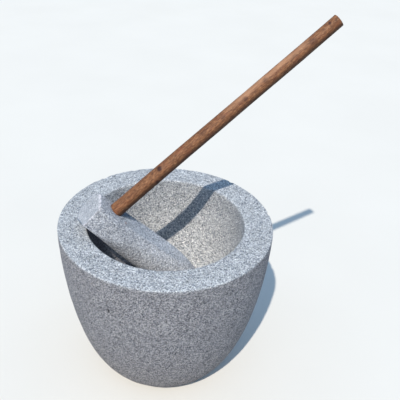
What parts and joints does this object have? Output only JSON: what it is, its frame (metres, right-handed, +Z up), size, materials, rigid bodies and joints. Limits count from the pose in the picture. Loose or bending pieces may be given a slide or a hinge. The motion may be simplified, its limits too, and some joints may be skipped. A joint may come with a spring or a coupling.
{
  "type": "stone mortar and pestle",
  "caption": "Big egg-shaped carved granite mortar with a wide flat rim, and a stone hammer pestle on a long wooden handle leaning in its hollow.",
  "frame": {"origin": "centre of the mortar's flat base, on the ground", "axes": "+Z up along the mortar's axis, +X the way the pestle's handle leans out, +Y to the left of +X seen from above"},
  "size_m": [0.5288, 0.45, 0.7797],
  "materials": {
    "granite": "matte bush-hammered grey granite",
    "head_granite": "matte dressed grey granite",
    "handle_wood": "bare reddish-brown stick, worn smooth",
    "wedge_wood": "bare split wood"
  },
  "bodies": {
    "mortar": {"mortar_bowl": "granite"},
    "pestle": {"pestle_head": "head_granite", "pestle_handle": "handle_wood", "handle_wedge": "wedge_wood"}
  },
  "joints": [
    {"name": "pestle_lift", "type": "slide", "parent": "mortar", "child": "pestle", "axis": [0, 0, 1], "range_m": [0, 0.35]}
  ]
}
